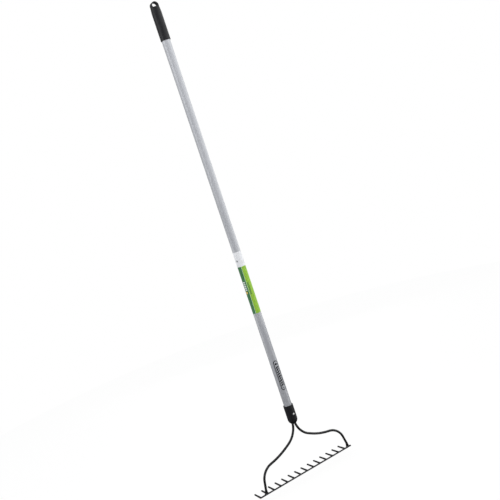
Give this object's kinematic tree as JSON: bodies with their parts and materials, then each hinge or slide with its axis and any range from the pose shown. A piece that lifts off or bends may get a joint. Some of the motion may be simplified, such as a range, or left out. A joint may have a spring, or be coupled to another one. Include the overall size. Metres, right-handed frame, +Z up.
{
  "type": "bow rake",
  "caption": "Long-handled bow rake: a straight comb of short steel tines on a bowed two-rod frame, a round fibreglass handle, a plastic ferrule and a vinyl grip with a hang loop.",
  "frame": {"origin": "on the handle's axis at the flat top of the grip, where the hang loop starts", "axes": "+Z up the handle from the comb to the hang loop; +X along the comb; +Y the way the tines point"},
  "size_m": [0.359, 0.1127, 1.6064],
  "materials": {
    "fibreglass": "smooth light gray fibreglass with a satin gloss",
    "grip_vinyl": "soft black vinyl, slightly shiny",
    "label_card": "printed card, white and two greens",
    "ferrule_plastic": "black moulded plastic",
    "plug_wood": "bare turned hardwood",
    "rivet_steel": "bright plated steel",
    "head_steel": "satin black paint on forged steel"
  },
  "bodies": {
    "root": {"handle_tube": "fibreglass", "grip": "grip_vinyl", "label_sleeve": "label_card", "ferrule": "ferrule_plastic", "tang_plug": "plug_wood", "rivet": "rivet_steel", "bow_rod_left": "head_steel", "bow_rod_right": "head_steel", "foot_weld_left": "head_steel", "foot_weld_right": "head_steel", "back_bar": "head_steel", "tine_01": "head_steel", "tine_02": "head_steel", "tine_03": "head_steel", "tine_04": "head_steel", "tine_05": "head_steel", "tine_06": "head_steel", "tine_07": "head_steel", "tine_08": "head_steel", "tine_09": "head_steel", "tine_10": "head_steel", "tine_11": "head_steel", "tine_12": "head_steel", "tine_13": "head_steel", "tine_14": "head_steel"}
  },
  "joints": []
}
